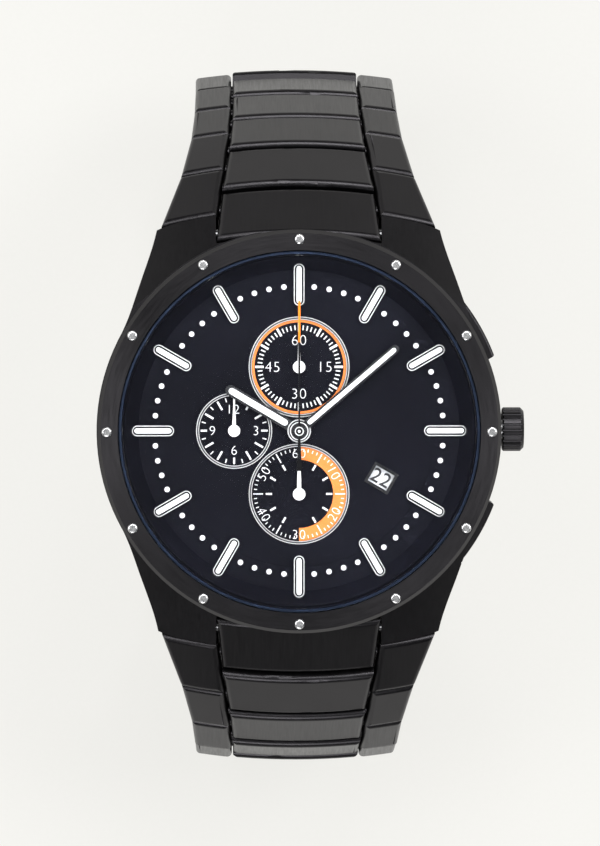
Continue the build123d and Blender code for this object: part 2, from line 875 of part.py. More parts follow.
needle_hand("small_seconds_hand", small_seconds_centre, counter_hand_bottom, 4.1, 0.33, 0.12, 0.65)
needle_hand("chrono_minute_hand", chrono_minute_centre, counter_hand_bottom, 3.9, 0.46, 0.3, 0.65)
needle_hand("chrono_hour_hand", chrono_hour_centre, counter_hand_bottom, 3.46, 0.45, 0.1, 0.63)
needle_hand("chrono_seconds_hand", (0, 0), chrono_hand_bottom, 13.6, 0.18, 0.24, 0.5, 4.15, 0.57)

# ---- crown and pushers -------------------------------------------------------------------

tube_outer_x = 22.6
with BuildPart() as crown_tube:
    with BuildSketch(Plane.YZ.offset(cavity_radius + 0.3)):
        with Locations((0, stem_height)):
            Circle(tube_radius)
            Circle(stem_radius + 0.08, mode=Mode.SUBTRACT)
    extrude(amount=tube_outer_x - cavity_radius - 0.3)
save(crown_tube.part, "crown_tube")

with BuildPart() as stem:
    with BuildSketch(Plane.YZ.offset(6.2)):
        with Locations((0, stem_height)):
            Circle(stem_radius)
    extrude(amount=crown_outer_x - 0.7 - 6.2)
save(stem.part, "stem")

with BuildPart() as crown:
    with BuildSketch(Plane.YZ.offset(crown_inner_x)):
        with Locations((0, stem_height)):
            Circle(crown_radius)
    extrude(amount=crown_outer_x - crown_inner_x)
    chamfer(crown.faces().sort_by(Axis.X)[-1].edges(), length=0.35)
    chamfer(crown.faces().sort_by(Axis.X)[0].edges(), length=0.15)
    with BuildSketch(Plane.YZ.offset(crown_inner_x)):
        with Locations((0, stem_height)):
            Circle(1.6)
            Circle(stem_radius, mode=Mode.SUBTRACT)
    extrude(amount=1.35, mode=Mode.SUBTRACT)
    with BuildSketch(Plane.YZ.offset(crown_inner_x)):
        with Locations((0, stem_height)):
            Circle(stem_radius)
    extrude(amount=crown_outer_x - 0.7 - crown_inner_x, mode=Mode.SUBTRACT)
    with BuildSketch(Plane.YZ.offset(crown_inner_x)):
        with Locations((0, stem_height)):
            with PolarLocations(crown_radius, 24):
                Circle(0.13)
    extrude(amount=crown_outer_x - crown_inner_x, mode=Mode.SUBTRACT)
save(crown.part, "crown")

with BuildPart() as crown_gasket:
    with BuildSketch(Plane.YZ.offset(crown_inner_x + 0.05)):
        with Locations((0, stem_height)):
            Circle(1.55)
            Circle(tube_radius + 0.05, mode=Mode.SUBTRACT)
    extrude(amount=0.5)
save(crown_gasket.part, "crown_gasket")

pusher_tubes = []
pusher_springs = []
pusher_seals = []
for hour, angle in zip((2, 4), pusher_clock_angles):
    with BuildPart() as tube:
        with BuildSketch(radial_plane(angle, cavity_radius + 0.3)):
            Circle(tube_radius + 0.25)
            Circle(pusher_stem_radius + 0.05, mode=Mode.SUBTRACT)
        extrude(amount=pusher_floor - cavity_radius - 0.3)
        with BuildSketch(radial_plane(angle, pusher_floor)):
            Circle(tube_radius)
            Circle(pusher_stem_radius, mode=Mode.SUBTRACT)
        extrude(amount=-1.8, mode=Mode.SUBTRACT)
    pusher_tubes.append(tube.part)
    with BuildPart() as seal:
        with BuildSketch(radial_plane(angle, cavity_radius + 0.05)):
            Circle(tube_radius)
            Circle(pusher_stem_radius + 0.05, mode=Mode.SUBTRACT)
        extrude(amount=0.25)
    pusher_seals.append(seal.part)
    spring_turns = 4
    spring_step = 0.36
    for turn in range(spring_turns):
        with BuildPart() as coil_ring:
            with BuildSketch(radial_plane(angle, pusher_floor - 1.75 + turn * spring_step)):
                Circle(tube_radius - 0.04)
                Circle(pusher_stem_radius + 0.06, mode=Mode.SUBTRACT)
            extrude(amount=0.18)
        pusher_springs.append(coil_ring.part)
    with BuildPart() as pusher:
        with BuildSketch(Plane.XY.offset(stem_height - pusher_half_height)):
            Circle(pusher_radius)
            Circle(pusher_inner_radius, mode=Mode.SUBTRACT)
        extrude(amount=2 * pusher_half_height)
        with BuildSketch(radial_plane(angle, 0)):
            Rectangle(2 * pusher_half_width, 2 * pusher_half_height)
        extrude(amount=30, mode=Mode.INTERSECT)
        outward = Axis((0, 0, stem_height), (sin(radians(angle)), cos(radians(angle)), 0))
        fillet(pusher.faces().sort_by(outward)[-1].edges(), radius=0.25)
        with BuildSketch(radial_plane(angle, cavity_radius - 0.05)):
            Circle(pusher_stem_radius)
        extrude(amount=pusher_inner_radius - cavity_radius + 0.45)
    save(pusher.part, f"pusher_{hour}")
save_group("pusher_tubes", *pusher_tubes)
save_group("case_seals", back_seal, *pusher_seals)
save_group("pusher_springs", *pusher_springs)

# ---- bracelet ----------------------------------------------------------------------------

for side_name, planes in (("12", twelve_planes), ("6", six_planes)):
    for index, plane in enumerate(planes, start=1):
        solids = [centre_piece(index), side_pieces(index), cross_pin(2 * quarter, pin_reach(index))]
        if side_name == "12" or index < link_count:
            solids.append(cross_pin(4 * quarter, pin_reach(index)))
        save_group(f"link_{side_name}_{index}", *[plane.location * solid for solid in solids])

# ---- clasp -------------------------------------------------------------------------------

cover_start_angle = clasp_hinge_angle - degrees((quarter + link_gap) / bow_hinge)
channel_start_angle = cover_start_angle - 2.6
shell = bow_strip(bow_wall_inner, bow_outer, bow_end_angle, cover_start_angle, bow_half_width)
channel = bow_strip(
    70, bow_outer - bow_plate, bow_end_angle - 3, channel_start_angle, bow_half_width - bow_wall
)
tongue_half = centre_halves[-1]
tongue_nose = hinge_nose(0, -1)
with BuildPart() as tongue:
    with BuildSketch(Plane.YZ):
        with Locations((quarter, (link_outer - link_inner) / 2)):
            Rectangle(4 * quarter, link_outer + link_inner)
        add(tongue_nose, mode=Mode.SUBTRACT)
    extrude(amount=tongue_half, both=True)
tongue_blank = clasp_plane.location * tongue.part
tongue_bore = clasp_plane.location * cross_pin(0, 20, hinge_pin_radius + pin_clearance)
blade_pin_bore = bow_rod(outer_blade_radius + 0.4, blade_hinge_angle, clasp_pin_radius, bow_half_width - 0.4)
button_plane_origin = bow_point(77.9, button_angle)

with BuildPart() as clasp_cover:
    add(shell)
    fillet(clasp_cover.edges().filter_by(Axis.X).sort_by(Axis.Z)[0:1], radius=0.4)
    add(channel, mode=Mode.SUBTRACT)
    add(tongue_blank)
    add(tongue_bore, mode=Mode.SUBTRACT)
    add(blade_pin_bore, mode=Mode.SUBTRACT)
    with BuildSketch(Plane((-15, *button_plane_origin), x_dir=(0, 1, 0), z_dir=(1, 0, 0))):
        Rectangle(button_length + 0.16, button_height + 0.16, rotation=button_angle)
    extrude(amount=30, mode=Mode.SUBTRACT)
save(clasp_cover.part, "clasp_cover")

fold_hinge = (fold_hinge_radius, fold_hinge_angle)
blade_hinge = (outer_blade_radius + blade_thickness / 2, blade_hinge_angle)
save(bow_rod(*blade_hinge, clasp_pin_radius, bow_half_width - 0.45), "clasp_blade_pin")

open_pivot_radius = sqrt(six_end[0] ** 2 + (bow_centre_z - six_end[1]) ** 2)
open_pivot_angle = degrees(asin(six_end[0] / open_pivot_radius))
fork_inner = 2.6

outer_layer = (outer_blade_radius, outer_blade_radius + blade_thickness)
inner_layer = (inner_blade_radius, inner_blade_radius + blade_thickness)
outer_strip = bow_strip(*outer_layer, blade_hinge_angle, fold_hinge_angle, blade_half_width)
inner_strip = bow_strip(*inner_layer, open_pivot_angle, fold_hinge_angle, blade_half_width)
outer_eye = bow_rod(*blade_hinge, knuckle_radius, blade_half_width)
outer_fold_eye = bow_rod(*fold_hinge, knuckle_radius, fork_inner - 0.1)
inner_fold_eye = bow_rod(*fold_hinge, knuckle_radius, blade_half_width)
fold_middle = bow_rod(*fold_hinge, knuckle_radius + 0.15, fork_inner)
fold_sides = bow_rod(*fold_hinge, knuckle_radius + 0.15, 20)
inner_end_eye = bow_rod(open_pivot_radius, open_pivot_angle, knuckle_radius, blade_half_width)

with BuildPart() as clasp_blade_outer:
    add(outer_strip)
    add(fold_sides, mode=Mode.SUBTRACT)
    add(bow_strip(*outer_layer, fold_hinge_angle - 2, fold_hinge_angle, fork_inner - 0.1))
    add(outer_eye)
    add(outer_fold_eye)
    add(bow_rod(*blade_hinge, clasp_pin_radius + 0.03, 20), mode=Mode.SUBTRACT)
    add(bow_rod(*fold_hinge, clasp_pin_radius + 0.03, 20), mode=Mode.SUBTRACT)
save(clasp_blade_outer.part, "clasp_blade_outer")

with BuildPart() as clasp_blade_inner:
    add(inner_strip)
    add(inner_fold_eye)
    add(fold_middle, mode=Mode.SUBTRACT)
    add(inner_end_eye)
    add(bow_rod(*fold_hinge, clasp_pin_radius, 20), mode=Mode.SUBTRACT)
    add(bow_rod(open_pivot_radius, open_pivot_angle, clasp_pin_radius, 20), mode=Mode.SUBTRACT)
save(clasp_blade_inner.part, "clasp_blade_inner")

save_group(
    "clasp_fold_pins",
    bow_rod(*fold_hinge, clasp_pin_radius, blade_half_width),
    bow_rod(open_pivot_radius, open_pivot_angle, clasp_pin_radius, blade_half_width + 0.3),
)

for side_name, side in (("right", 1), ("left", -1)):
    inner_x = side * (bow_half_width - bow_wall - 0.55)
    with BuildPart() as button:
        with BuildSketch(Plane((inner_x, *button_plane_origin), x_dir=(0, 1, 0), z_dir=(1, 0, 0))):
            Rectangle(button_length, button_height, rotation=button_angle)
        extrude(amount=side * (bow_wall + 0.55 + button_proud))
        fillet(button.faces().sort_by(Axis.X)[-1 if side > 0 else 0].edges(), radius=0.25)
        with BuildSketch(Plane((inner_x, *button_plane_origin), x_dir=(0, 1, 0), z_dir=(1, 0, 0))):
            Rectangle(button_length + 1.2, button_height, rotation=button_angle)
        extrude(amount=side * 0.45)
    save(button.part, f"clasp_button_{side_name}")
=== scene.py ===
import json
import math

import bmesh
import bpy
from mathutils import Matrix, Vector


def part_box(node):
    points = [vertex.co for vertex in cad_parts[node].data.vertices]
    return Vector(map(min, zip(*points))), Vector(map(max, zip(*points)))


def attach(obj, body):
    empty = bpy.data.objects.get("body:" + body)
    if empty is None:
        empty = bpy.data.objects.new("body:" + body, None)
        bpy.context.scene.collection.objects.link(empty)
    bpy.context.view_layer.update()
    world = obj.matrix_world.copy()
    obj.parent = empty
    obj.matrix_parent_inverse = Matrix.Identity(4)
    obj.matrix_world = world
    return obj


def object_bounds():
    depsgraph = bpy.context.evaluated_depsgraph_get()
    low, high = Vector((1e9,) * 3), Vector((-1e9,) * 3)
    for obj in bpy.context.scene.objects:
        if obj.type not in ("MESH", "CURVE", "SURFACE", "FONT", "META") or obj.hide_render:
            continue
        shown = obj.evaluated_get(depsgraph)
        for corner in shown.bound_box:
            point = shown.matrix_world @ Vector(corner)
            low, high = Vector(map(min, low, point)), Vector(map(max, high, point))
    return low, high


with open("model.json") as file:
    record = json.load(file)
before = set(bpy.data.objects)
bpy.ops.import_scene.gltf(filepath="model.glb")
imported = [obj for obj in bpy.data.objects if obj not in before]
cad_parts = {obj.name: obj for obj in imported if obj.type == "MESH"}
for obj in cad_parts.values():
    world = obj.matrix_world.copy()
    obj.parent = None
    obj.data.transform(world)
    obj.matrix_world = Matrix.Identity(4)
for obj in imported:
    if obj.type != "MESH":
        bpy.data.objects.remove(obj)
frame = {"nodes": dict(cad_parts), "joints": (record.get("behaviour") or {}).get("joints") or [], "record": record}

cad_low, cad_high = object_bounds()
MM = 0.001
joints = {joint["name"]: joint for joint in frame["joints"]}
record_slots = {row["node"]: row["material_slot"] for row in frame["record"]["subparts"]}


# ---- places, from the frame --------------------------------------------------------------

def high(name):
    """A node's highest corner."""
    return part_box(name)[1]


def centre_of(joint):
    """The point of the dial that a hand turns about."""
    x, y, _ = joints[joint]["pos_m"]
    return Vector((x, y))


DIAL_TOP = high("dial")[2]
RECESS_TOP = DIAL_TOP - 0.12 * MM
PRINT = 0.02 * MM
SECONDS = centre_of("small_seconds_turn")
MINUTES = centre_of("chrono_minute_turn")
HOURS = centre_of("chrono_hour_turn")
CENTRE = Vector((0.0, 0.0))


# ---- material nodes ----------------------------------------------------------------------

STREAK_DEPTH = 0.004 * MM
GRAIN_DEPTH = 0.01 * MM


def wired(tree, kind, settings=None, **inputs):
    """Adds a node; each input, by name or as i0, i1, is a value or another node's output."""
    made = tree.nodes.new(kind)
    for key, value in (settings or {}).items():
        setattr(made, key, value)
    for key, value in inputs.items():
        by_number = key[0] == "i" and key[1:].isdigit()
        socket = made.inputs[int(key[1:]) if by_number else key.replace("_", " ")]
        if isinstance(value, bpy.types.NodeSocket):
            tree.links.new(value, socket)
        else:
            socket.default_value = value
    return made


def calculated(tree, operation, *values):
    """The result of a math node on its values."""
    inputs = {f"i{index}": value for index, value in enumerate(values)}
    return wired(tree, "ShaderNodeMath", {"operation": operation}, **inputs).outputs[0]


def noise(tree, vector, detail, scale=1.0, roughness=0.5):
    """The level of a noise pattern."""
    made = wired(
        tree, "ShaderNodeTexNoise", Vector=vector, Scale=scale, Detail=detail, Roughness=roughness,
    )
    return made.outputs["Fac"]


def remap(tree, value, lowest, highest, start=0.0, stop=1.0):
    """A value's range from start to stop, stretched to the range from lowest to highest."""
    made = wired(
        tree, "ShaderNodeMapRange", Value=value,
        From_Min=start, From_Max=stop, To_Min=lowest, To_Max=highest,
    )
    return made.outputs[0]


def mixed(tree, factor, first, second, blend="MIX"):
    """Two colours mixed; each is a colour with alpha, or a node's output."""
    made = wired(
        tree, "ShaderNodeMix", {"data_type": "RGBA", "blend_type": blend},
        i0=factor, i6=first, i7=second,
    )
    return made.outputs[2]


def ramp(tree, factor, dark, light):
    """A colour or grey from dark to light, over the middle of a noise pattern's range."""
    made = wired(tree, "ShaderNodeValToRGB", Fac=factor)
    for index, (position, value) in enumerate(((0.3, dark), (0.7, light))):
        element = made.color_ramp.elements[index]
        element.position = position
        colour = value if isinstance(value, tuple) else (value, value, value)
        element.color = (*colour, 1)
    return made.outputs["Color"]


def darker_and_lighter(colour, share):
    """A colour made darker and lighter by a share of itself."""
    dark = tuple(channel * (1 - share) for channel in colour)
    light = tuple(min(1.0, channel * (1 + share)) for channel in colour)
    return dark, light


def add_relief(tree, shader, height, strength, depth):
    """Gives a shader relief from a height pattern."""
    relief = wired(tree, "ShaderNodeBump", Height=height, Strength=strength, Distance=depth)
    tree.links.new(relief.outputs["Normal"], shader.inputs["Normal"])


def principled(name):
    """A new material, its node tree and its Principled shader."""
    material = bpy.data.materials.new(name)
    material.use_nodes = True
    tree = material.node_tree
    return material, tree, tree.nodes["Principled BSDF"]


# ---- pattern coordinates -----------------------------------------------------------------

def object_vector(tree, scale):
    """Object coordinates, scaled per axis: the frequency of a pattern in cycles per metre."""
    coordinates = wired(tree, "ShaderNodeTexCoord")
    mapping = wired(tree, "ShaderNodeMapping", Vector=coordinates.outputs["Object"], Scale=scale)
    return mapping.outputs["Vector"]


def polar_vector(tree, around, radial, angular):
    """Coordinates (radius, angle, height) about an upright line, for turned surfaces."""
    coordinates = wired(tree, "ShaderNodeTexCoord")
    shifted = wired(
        tree, "ShaderNodeVectorMath", {"operation": "SUBTRACT"},
        i0=coordinates.outputs["Object"], i1=(around[0], around[1], 0),
    )
    parts = wired(tree, "ShaderNodeSeparateXYZ", i0=shifted.outputs[0])
    flat = wired(tree, "ShaderNodeCombineXYZ", X=parts.outputs["X"], Y=parts.outputs["Y"])
    radius = wired(tree, "ShaderNodeVectorMath", {"operation": "LENGTH"}, i0=flat.outputs[0])
    angle = calculated(tree, "ARCTAN2", parts.outputs["Y"], parts.outputs["X"])
    joined = wired(
        tree, "ShaderNodeCombineXYZ",
        X=calculated(tree, "MULTIPLY", radius.outputs["Value"], radial),
        Y=calculated(tree, "MULTIPLY", angle, angular),
        Z=calculated(tree, "MULTIPLY", parts.outputs["Z"], radial),
    )
    return joined.outputs[0]


def distance_from(tree, around):
    """The distance from an upright line, in metres."""
    parts = wired(tree, "ShaderNodeSeparateXYZ", i0=polar_vector(tree, around, 1.0, 1.0))
    return parts.outputs["X"]


def along_bracelet(tree):
    """Streaks that run round the wrist, fine across it."""
    return object_vector(tree, (7000, 260, 260))


def along_case(tree):
    """Streaks that run from 12 to 6 o'clock over the lugs and flanks."""
    return object_vector(tree, (6500, 300, 1500))


def round_the_dial(tree):
    """Streaks that run round the bezel."""
    return polar_vector(tree, CENTRE, 7000, 9)


def all_ways(tree):
    """An even, fine grain."""
    return object_vector(tree, (5200, 5200, 5200))


# ---- materials ---------------------------------------------------------------------------

def satin(name, colour, roughness, spread, vector_of, bump=0.12, tint=0.15, turned=0.0):
    """Brushed or blasted metal: streaks in the given coordinates, over slow changes in tone."""
    material, tree, shader = principled(name)
    streaks = noise(tree, vector_of(tree), 4.0, roughness=0.65)
    patches = noise(tree, object_vector(tree, (160, 160, 160)), 2.0)
    dark, light = darker_and_lighter(colour, tint)
    tone = mixed(tree, patches, (*dark, 1), (*light, 1))
    streaked = mixed(tree, 0.6, tone, ramp(tree, streaks, 0.84, 1.0), "MULTIPLY")
    tree.links.new(streaked, shader.inputs["Base Color"])
    rough = remap(tree, streaks, roughness - spread, roughness + spread, 0.25, 0.75)
    tree.links.new(rough, shader.inputs["Roughness"])
    add_relief(tree, shader, streaks, bump, STREAK_DEPTH)
    shader.inputs["Metallic"].default_value = 1.0
    if turned:
        tangent = wired(tree, "ShaderNodeTangent", {"direction_type": "RADIAL", "axis": "Z"})
        tree.links.new(tangent.outputs["Tangent"], shader.inputs["Tangent"])
        shader.inputs["Anisotropic"].default_value = turned
    return material


def clear_glass(name, tint, edge_radius, rim_glint_colour):
    """A glass that lets lamps through, with a painted reflection near its rim: a line in another colour that
    stands in for the glint of its polished edge.
    """
    edge_width = 0.15 * MM
    material, tree, shader = principled(name)
    shader.inputs["Roughness"].default_value = 0.02
    shader.inputs["IOR"].default_value = 1.35
    shader.inputs["Transmission Weight"].default_value = 1.0
    distance = distance_from(tree, CENTRE)
    # the rim line is a painted reflection, the glint of the crystal's polished edge
    edge = remap(tree, distance, 0.0, 1.0, edge_radius - edge_width, edge_radius)
    colour = mixed(tree, edge, (*tint, 1), (*rim_glint_colour, 1))
    tree.links.new(colour, shader.inputs["Base Color"])
    path = wired(tree, "ShaderNodeLightPath")
    clear = wired(tree, "ShaderNodeBsdfTransparent")
    either = wired(
        tree, "ShaderNodeMixShader",
        Fac=path.outputs["Is Shadow Ray"], i1=shader.outputs[0], i2=clear.outputs[0],
    )
    tree.links.new(either.outputs[0], tree.nodes["Material Output"].inputs["Surface"])
    return material


def dial_paint(name):
    """Matt black lacquer with a navy cast, fine grain, and turned rings in the sub-dials."""
    ring_pitch = 0.16 * MM
    material, tree, shader = principled(name)
    grain = noise(tree, all_ways(tree), 3.0, scale=2.0)
    cast = noise(tree, object_vector(tree, (60, 60, 60)), 1.0)
    colour = ramp(tree, cast, (0.0030, 0.0031, 0.0052), (0.0046, 0.0048, 0.0080))
    tree.links.new(colour, shader.inputs["Base Color"])
    height = grain
    for around, reach in ((SECONDS, 5.0 * MM), (MINUTES, 5.0 * MM), (HOURS, 3.7 * MM)):
        distance = distance_from(tree, around)
        turns = calculated(tree, "MULTIPLY", distance, 2 * math.pi / ring_pitch)
        inside = calculated(tree, "LESS_THAN", distance, reach)
        rings = calculated(tree, "MULTIPLY", calculated(tree, "SINE", turns), inside)
        height = calculated(tree, "ADD", height, rings)
    add_relief(tree, shader, height, 0.35, GRAIN_DEPTH)
    shader.inputs["Specular IOR Level"].default_value = 0.03
    tree.links.new(remap(tree, grain, 0.42, 0.62), shader.inputs["Roughness"])
    return material


def grainy(name, colour, roughness, grain_scale=6000, variation=0.12, sheen=0.0, glow=0.0):
    """Print, lacquer, plastic or rubber with a fine grain and slightly uneven tone; glow is painted light, an
    emission in the material's own colour that lifts it above its shading.
    """
    spread = 0.1
    material, tree, shader = principled(name)
    grain = noise(tree, object_vector(tree, (grain_scale,) * 3), 3.0)
    dark, light = darker_and_lighter(colour, variation)
    tree.links.new(ramp(tree, grain, dark, light), shader.inputs["Base Color"])
    rough = remap(tree, grain, roughness - spread, roughness + spread)
    tree.links.new(rough, shader.inputs["Roughness"])
    add_relief(tree, shader, grain, 0.2, GRAIN_DEPTH)
    shader.inputs["Sheen Weight"].default_value = sheen
    # painted light: an emission in the material's own colour, though the part is no lamp
    if glow:
        shader.inputs["Emission Color"].default_value = (*colour, 1)
        shader.inputs["Emission Strength"].default_value = glow
    return material


def two_tone_hand(name, boundary, tip_colour, root_colour):
    """A lacquered needle whose outer part is another colour."""
    material, tree, shader = principled(name)
    coordinates = wired(tree, "ShaderNodeTexCoord")
    parts = wired(tree, "ShaderNodeSeparateXYZ", i0=coordinates.outputs["Object"])
    outer = calculated(tree, "GREATER_THAN", parts.outputs["Y"], boundary)
    colour = mixed(tree, outer, (*root_colour, 1), (*tip_colour, 1))
    grain = noise(tree, all_ways(tree), 3.0)
    uneven = mixed(tree, 0.3, colour, ramp(tree, grain, 0.8, 1.0), "MULTIPLY")
    tree.links.new(uneven, shader.inputs["Base Color"])
    tree.links.new(remap(tree, grain, 0.25, 0.45), shader.inputs["Roughness"])
    shader.inputs["Specular IOR Level"].default_value = 0.15
    return material


COATING = (0.037, 0.0355, 0.038)
GLASS_RIM = 18.55 * MM
ORANGE_FROM = 9.3 * MM
materials = {
    "coated_links": satin("coated_links", COATING, 0.34, 0.06, along_bracelet),
    "coated_case": satin("coated_case", COATING, 0.40, 0.06, along_case),
    "coated_bezel": satin("coated_bezel", COATING, 0.36, 0.06, round_the_dial, turned=0.75),
    "polished_dark": satin(
        "polished_dark", (0.2, 0.2, 0.205), 0.2, 0.04, all_ways, bump=0.03, tint=0.1,
    ),
    "stud_steel": satin(
        "stud_steel", (0.92, 0.92, 0.92), 0.28, 0.05, all_ways, bump=0.04, tint=0.1,
    ),
    "ring_metal": satin(
        "ring_metal", (0.12, 0.12, 0.125), 0.3, 0.05, round_the_dial, bump=0.05, tint=0.1,
    ),
    # pale metal for thin lines on dark parts: painted highlights on the edges of the marker frames and sub-dial
    # rims, and partly real polish, partly painted highlight on the hub rims and cap
    "polish_and_painted_highlight": satin(
        "polish_and_painted_highlight", (0.8, 0.8, 0.79), 0.4, 0.05, all_ways, bump=0.02, tint=0.1,
    ),
    "hand_dark": satin(
        "hand_dark", (0.24, 0.24, 0.25), 0.2, 0.04, all_ways, bump=0.0, tint=0.1,
    ),
    "pin_steel": satin("pin_steel", (0.5, 0.5, 0.51), 0.28, 0.06, along_bracelet),
    "blade_steel": satin("blade_steel", (0.16, 0.16, 0.165), 0.3, 0.06, along_bracelet),
    "plate_brass": satin("plate_brass", (0.55, 0.5, 0.42), 0.3, 0.06, all_ways),
    "gear_brass": satin("gear_brass", (0.75, 0.6, 0.3), 0.25, 0.06, all_ways),
    "cell_steel": satin("cell_steel", (0.75, 0.75, 0.76), 0.25, 0.06, round_the_dial),
    "coil_copper": satin("coil_copper", (0.7, 0.33, 0.18), 0.35, 0.06, along_case),
    # the bluish rim colour is a painted reflection of the crystal's polished edge
    "sapphire": clear_glass("sapphire", (0.97, 0.98, 1.0), GLASS_RIM, (0.25, 0.42, 0.75)),
    "dial_black": dial_paint("dial_black"),
    "rehaut_black": dial_paint("rehaut_black"),
    "seal_rubber": grainy("seal_rubber", (0.02, 0.02, 0.021), 0.7, sheen=0.1),
    # the gasket's bluish colour is a painted reflection: it stands in for the glint of the crystal's polished
    # edge, a thin bluish line round the glass
    "gasket_glint": satin(
        "gasket_glint", (0.10, 0.14, 0.24), 0.25, 0.05, round_the_dial, bump=0.05, tint=0.1,
    ),
    "board": grainy("board", (0.03, 0.14, 0.07), 0.4, grain_scale=1800),
    "holder_plastic": grainy("holder_plastic", (0.7, 0.69, 0.64), 0.5),
    # date_white, lume, white_print and hand_white carry painted light: a faint glow that keeps them bright where
    # they are shaded, the date disc in its recessed window most of all
    "date_white": grainy("date_white", (0.66, 0.67, 0.68), 0.35, variation=0.05, glow=0.06),
    "date_ink": grainy("date_ink", (0.02, 0.02, 0.024), 0.4),
    "lume": grainy(
        "lume", (0.66, 0.68, 0.67), 0.6, grain_scale=9000, variation=0.05, glow=0.06,
    ),
    "white_print": grainy("white_print", (0.60, 0.60, 0.60), 0.5, variation=0.06, glow=0.05),
    "orange_print": grainy("orange_print", (0.66, 0.165, 0.018), 0.45, variation=0.08),
    "hand_white": grainy("hand_white", (0.66, 0.66, 0.65), 0.35, variation=0.04, glow=0.05),
    "chrono_hand": two_tone_hand(
        "chrono_hand", ORANGE_FROM, (0.85, 0.19, 0.015), (0.002, 0.002, 0.0025),
    ),
}

# nodes whose look differs from the material slot in the record
node_materials = {
    "mid_case": "coated_case",
    "crown": "coated_case",
    "pusher_2": "coated_case",
    "pusher_4": "coated_case",
    "bezel": "coated_bezel",
    "case_back": "coated_bezel",
    "clasp_cover": "coated_links",
    "clasp_button_left": "coated_links",
    "clasp_button_right": "coated_links",
    "bezel_studs": "stud_steel",
    "subdial_rings": "ring_metal",
    "clasp_blade_outer": "blade_steel",
    "clasp_blade_inner": "blade_steel",
    "chrono_seconds_hand": "chrono_hand",
    "crystal_gasket": "gasket_glint",
    "lug_pins": "blade_steel",
}
for name, made in frame["nodes"].items():
    default = "coated_links" if name.startswith("link_") else record_slots[name]
    made.data.materials.clear()
    made.data.materials.append(materials[node_materials.get(name, default)])


# ---- flat outlines, sizes in millimetres -------------------------------------------------

def direction(angle):
    """The way a clock angle points, in degrees clockwise from 12."""
    turn = math.radians(angle)
    return Vector((math.sin(turn), math.cos(turn)))


def tick(centre, inner, outer, angle, width):
    """A radial stroke."""
    out = direction(angle)
    across = Vector((out.y, -out.x)) * width / 2 * MM
    start = centre + out * inner * MM
    end = centre + out * outer * MM
    return [start - across, start + across, end + across, end - across]


def dot(centre, radius, sides=24):
    """A round dot."""
    return [centre + direction(-360 * step / sides) * radius * MM for step in range(sides)]


def capsule(centre, inner, outer, angle, width, steps=10):
    """A round-ended radial stroke."""
    out = direction(angle)
    across = Vector((out.y, -out.x))
    half = width / 2 * MM
    outline = []
    for middle, turn in ((outer * MM - half, 0), (inner * MM + half, 180)):
        for step in range(steps + 1):
            bow = math.radians(turn - 90 + 180 * step / steps)
            along = out * (middle + half * math.cos(bow))
            outline.append(centre + along - across * half * math.sin(-bow))
    return outline


def band(centre, inner, outer, start=0.0, end=360.0, steps=96):
    """A ring, or part of one, as a row of four-sided outlines."""
    faces = []
    for step in range(steps):
        first = direction(start + (end - start) * step / steps)
        second = direction(start + (end - start) * (step + 1) / steps)
        faces.append([
            centre + first * inner * MM, centre + first * outer * MM,
            centre + second * outer * MM, centre + second * inner * MM,
        ])
    return faces


def signed_area(outline):
    """Twice the area of an outline, positive when it runs anticlockwise."""
    return sum(a.x * b.y - b.x * a.y for a, b in zip(outline, outline[1:] + outline[:1]))


# ---- thin pieces -------------------------------------------------------------------------

def add_piece(name, shape, material, body):
    """Makes an object of a bmesh, and lets it ride on a body."""
    bmesh.ops.recalc_face_normals(shape, faces=shape.faces)
    mesh = bpy.data.meshes.new(name)
    shape.to_mesh(mesh)
    shape.free()
    made = bpy.data.objects.new(name, mesh)
    bpy.context.scene.collection.objects.link(made)
    mesh.materials.append(materials[material])
    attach(made, body)


def plate(name, outlines, height, thickness, material, body, crown=0.0):
    """Thin closed solids from flat outlines; crown lifts their middles."""
    weld_distance = 0.0005 * MM
    crown_slope = 1.5
    shape = bmesh.new()
    for outline in outlines:
        face = shape.faces.new([shape.verts.new((point.x, point.y, height)) for point in outline])
        if signed_area(outline) < 0:
            face.normal_flip()
    bmesh.ops.remove_doubles(shape, verts=shape.verts, dist=weld_distance)
    raised = bmesh.ops.extrude_face_region(shape, geom=list(shape.faces))["geom"]
    for item in raised:
        if isinstance(item, bmesh.types.BMVert):
            item.co.z += thickness
    if crown:
        for face in [item for item in raised if isinstance(item, bmesh.types.BMFace)]:
            bmesh.ops.inset_individual(shape, faces=[face], thickness=crown * crown_slope)
            for vertex in face.verts:
                vertex.co.z += crown
    add_piece(name, shape, material, body)


def numeral(text, centre, cap, turn, height, weight):
    """A mesh of one number, centred on a point; its height in mm, its turn in degrees clockwise."""
    curve = bpy.data.curves.new("numeral", "FONT")
    curve.body = text
    curve.align_x = "CENTER"
    curve.resolution_u = 4
    curve.extrude = PRINT / 2
    curve.size = 1.0 * MM
    curve.space_character = 1.08
    curve.offset = weight * MM
    holder = bpy.data.objects.new("numeral", curve)
    bpy.context.scene.collection.objects.link(holder)
    bpy.context.view_layer.update()
    graph = bpy.context.evaluated_depsgraph_get()
    flat = bpy.data.meshes.new_from_object(holder.evaluated_get(graph))
    bpy.data.objects.remove(holder)
    lows = [min(vertex.co[axis] for vertex in flat.vertices) for axis in (0, 1)]
    highs = [max(vertex.co[axis] for vertex in flat.vertices) for axis in (0, 1)]
    size = cap * MM / (highs[1] - lows[1])
    flat.transform(
        Matrix.Translation((centre.x, centre.y, height + PRINT / 2))
        @ Matrix.Rotation(math.radians(-turn), 4, "Z")
        @ Matrix.Diagonal((size, size, 1, 1))
        @ Matrix.Translation((-(lows[0] + highs[0]) / 2, -(lows[1] + highs[1]) / 2, 0))
    )
    return flat


